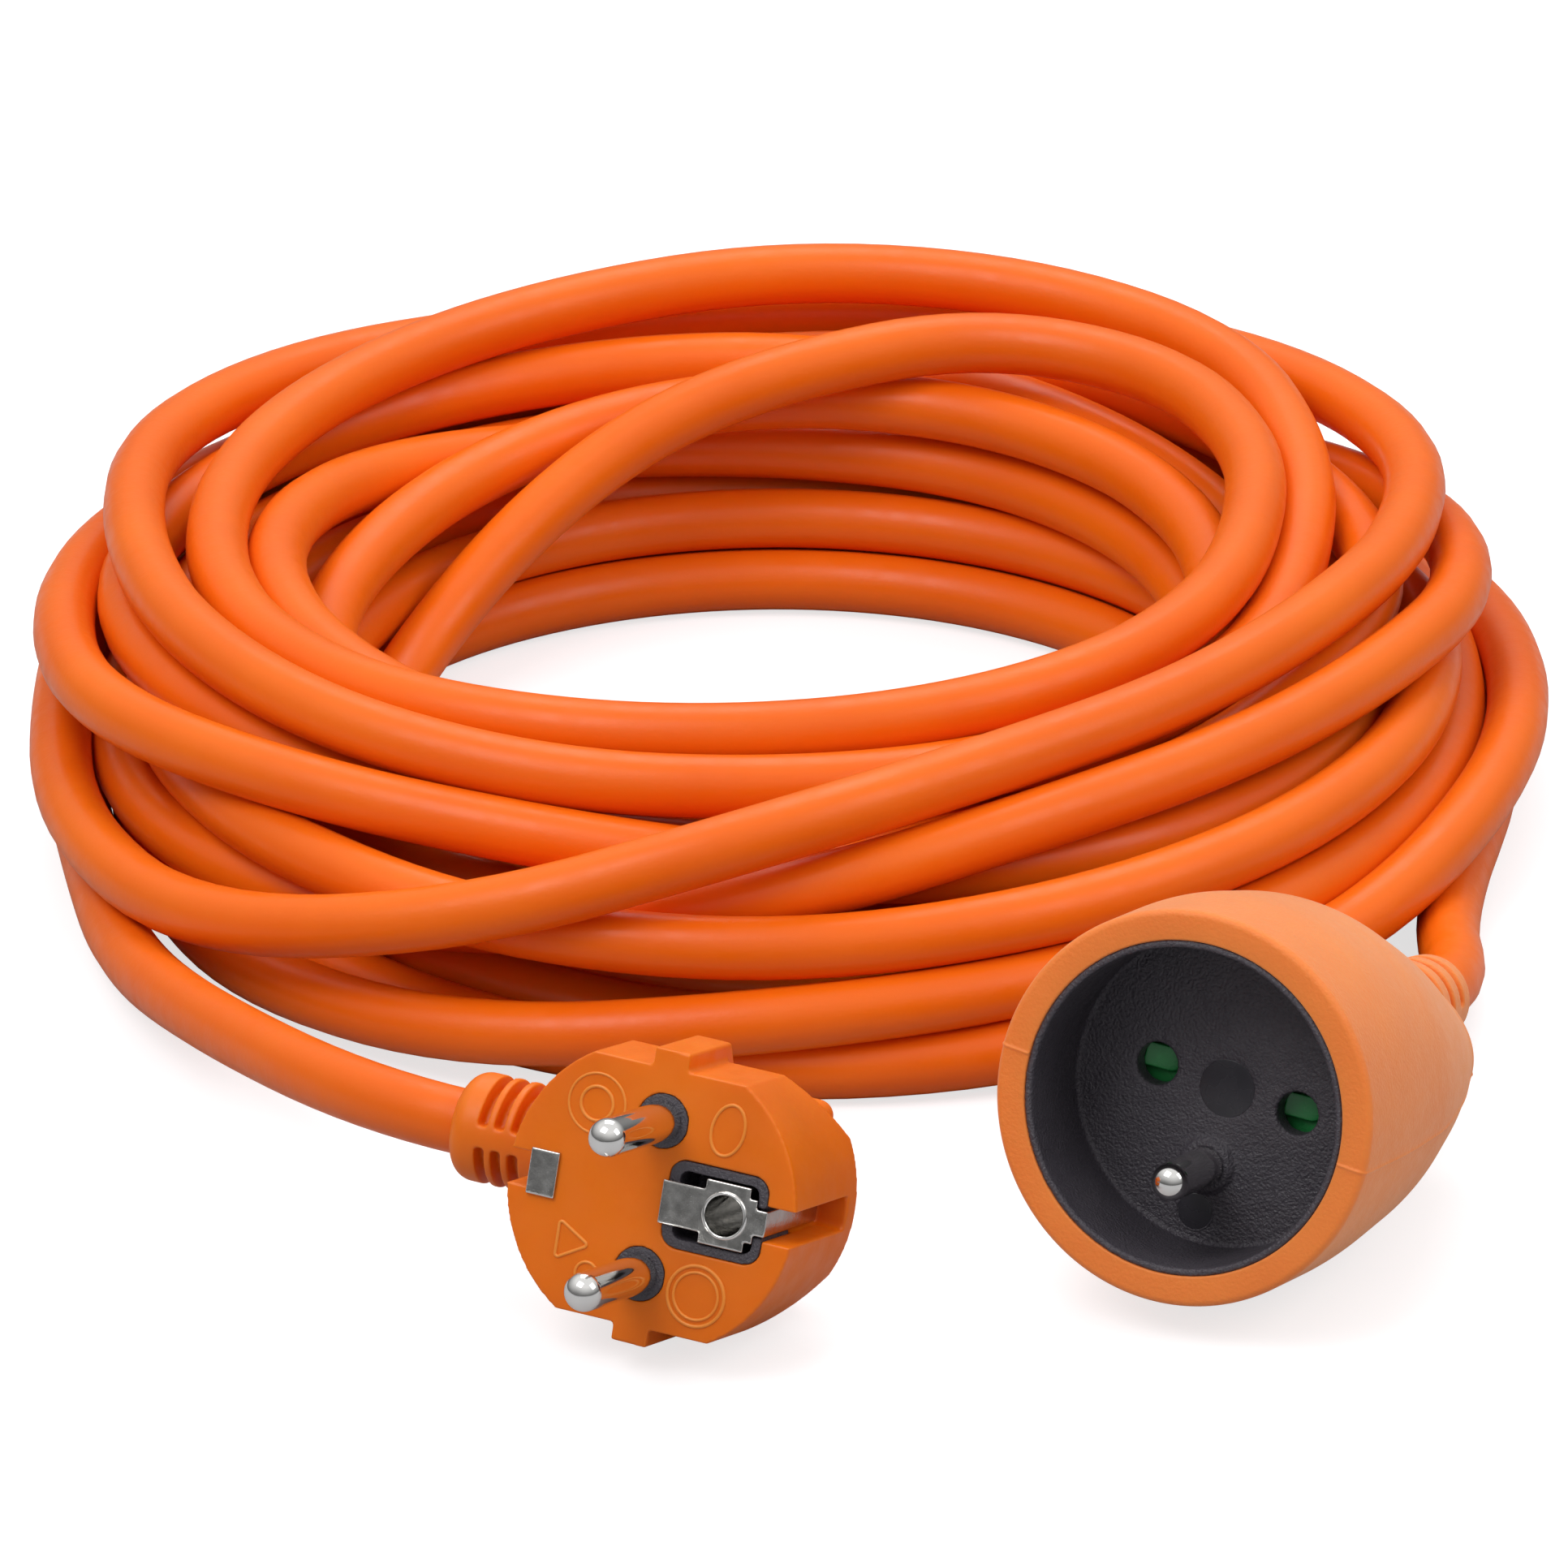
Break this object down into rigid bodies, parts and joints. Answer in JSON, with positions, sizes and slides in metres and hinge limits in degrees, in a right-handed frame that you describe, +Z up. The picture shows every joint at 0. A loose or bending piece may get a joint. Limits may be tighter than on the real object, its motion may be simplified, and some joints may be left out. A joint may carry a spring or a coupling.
{
  "type": "extension cord",
  "caption": "Coiled mains extension cord: round sheathed cable, angled moulded plug with earth strips, and a moulded trailing socket with earth pin and sprung shutter.",
  "frame": {"origin": "on the floor under the middle of the whole object's bounding box", "axes": "+Z up, the hank lies flat on z = 0; -Y is the side of the two free ends, whose faces look towards -Y, a little towards -X and a little up; +X is the side of the trailing socket"},
  "size_m": [0.202, 0.2907, 0.0525],
  "materials": {
    "sheath_orange": "satin extruded PVC sheath",
    "moulding_orange": "satin moulded PVC, slightly translucent",
    "insert_black": "fine spark-eroded grain",
    "shutter_green": "smooth",
    "nickel": "bright nickel plate",
    "contact_brass": "stamped sheet",
    "spring_steel": "drawn wire",
    "core_brown": "core insulation",
    "core_blue": "core insulation",
    "core_green_yellow": "striped core insulation"
  },
  "bodies": {
    "cord_set": {"cable_coil": "sheath_orange", "plug_lead": "sheath_orange", "socket_lead": "sheath_orange", "plug_sheath_end": "sheath_orange", "socket_sheath_end": "sheath_orange", "plug_body": "moulding_orange", "plug_boot": "moulding_orange", "socket_body": "moulding_orange", "socket_boot": "moulding_orange", "plug_contact_carrier": "insert_black", "socket_insert": "insert_black", "socket_carrier": "insert_black", "plug_line_pin": "nickel", "plug_neutral_pin": "nickel", "socket_earth_pin": "nickel", "plug_earth_contact": "nickel", "socket_line_contact": "contact_brass", "socket_neutral_contact": "contact_brass", "shutter_spring": "spring_steel", "plug_core_brown": "core_brown", "plug_core_blue": "core_blue", "plug_core_earth": "core_green_yellow", "socket_core_brown": "core_brown", "socket_core_blue": "core_blue", "socket_core_earth": "core_green_yellow"},
    "shutter": {"shutter": "shutter_green"}
  },
  "joints": [
    {"name": "shutter_slide", "type": "slide", "parent": "cord_set", "child": "shutter", "axis": [-0.8889, 0.4317, 0.1535], "range_m": [0, 0.00535], "stiffness_N_per_m": 80, "springref_m": -0.002, "deforming": ["shutter_spring"]}
  ]
}
